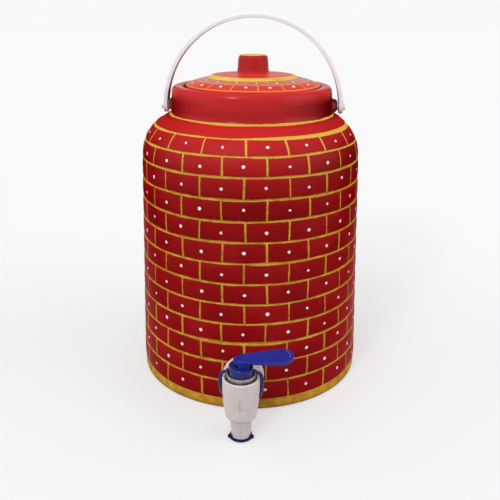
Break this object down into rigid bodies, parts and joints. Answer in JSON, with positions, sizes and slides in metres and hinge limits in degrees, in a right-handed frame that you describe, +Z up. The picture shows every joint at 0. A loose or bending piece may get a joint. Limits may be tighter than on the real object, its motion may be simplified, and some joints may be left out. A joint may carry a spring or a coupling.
{
  "type": "clay water pot with tap",
  "caption": "Red-painted clay water pot with a brick pattern, a clay lid, a plastic bail handle and a lever tap low on its wall.",
  "frame": {"origin": "centre of the pot's base, on the plane that it stands on", "axes": "+Z up along the pot's axis, -Y towards the tap, +X to the right seen from the tap's side"},
  "size_m": [0.2327, 0.2895, 0.3614],
  "materials": {
    "painted_clay": "satin",
    "white_plastic": "gloss",
    "tap_plastic": "satin",
    "blue_plastic": "satin",
    "brown_strip": "matte",
    "steel": "satin",
    "nut_metal": "satin",
    "rubber": "matte"
  },
  "bodies": {
    "pot": {"pot_body": "painted_clay", "tap_body": "tap_plastic", "outer_gasket": "rubber", "inner_gasket": "rubber", "back_nut": "tap_plastic", "ring_nut": "nut_metal", "tap_cap": "blue_plastic", "lever_pin": "blue_plastic", "pivot_bolt_left": "white_plastic", "pivot_bolt_right": "white_plastic", "pivot_washer_left": "white_plastic", "pivot_washer_right": "white_plastic", "pivot_nut_left": "white_plastic", "pivot_nut_right": "white_plastic"},
    "lid": {"lid": "painted_clay"},
    "handle": {"handle": "white_plastic", "handle_inlay": "brown_strip"},
    "lever": {"lever": "blue_plastic"},
    "stem": {"valve_stem": "steel", "stem_pin": "steel", "valve_seal": "rubber", "valve_spring": "steel"},
    "yoke": {"yoke": "blue_plastic"}
  },
  "joints": [
    {"name": "lid_lift", "type": "slide", "parent": "pot", "child": "lid", "axis": [0, 0, 1], "range_m": [0, 0.018]},
    {"name": "handle_swing", "type": "hinge", "parent": "pot", "child": "handle", "pos_m": [0.0012, 0, 0.276], "axis": [1, 0, 0], "range_deg": [-87, 87]},
    {"name": "lever_press", "type": "hinge", "parent": "pot", "child": "lever", "pos_m": [0.00515, -0.15628, 0.073], "axis": [-0.1392, 0.9903, 0], "range_deg": [0, 12], "stiffness_Nm_per_rad": 0.15, "springref_deg": -11.46},
    {"name": "stem_lift", "type": "slide", "parent": "pot", "child": "stem", "axis": [0, 0, 1], "range_m": [0, 0.0011], "deforming": ["valve_spring"]},
    {"name": "yoke_push", "type": "hinge", "parent": "pot", "child": "yoke", "pos_m": [0, -0.157, 0.0683], "axis": [1, 0, 0], "range_deg": [0, 2.4]}
  ],
  "couplings": [
    {"joint": "stem_lift", "follows": "lever_press", "m_per_rad": 0.0052},
    {"joint": "yoke_push", "follows": "lever_press", "ratio": 0.2}
  ]
}
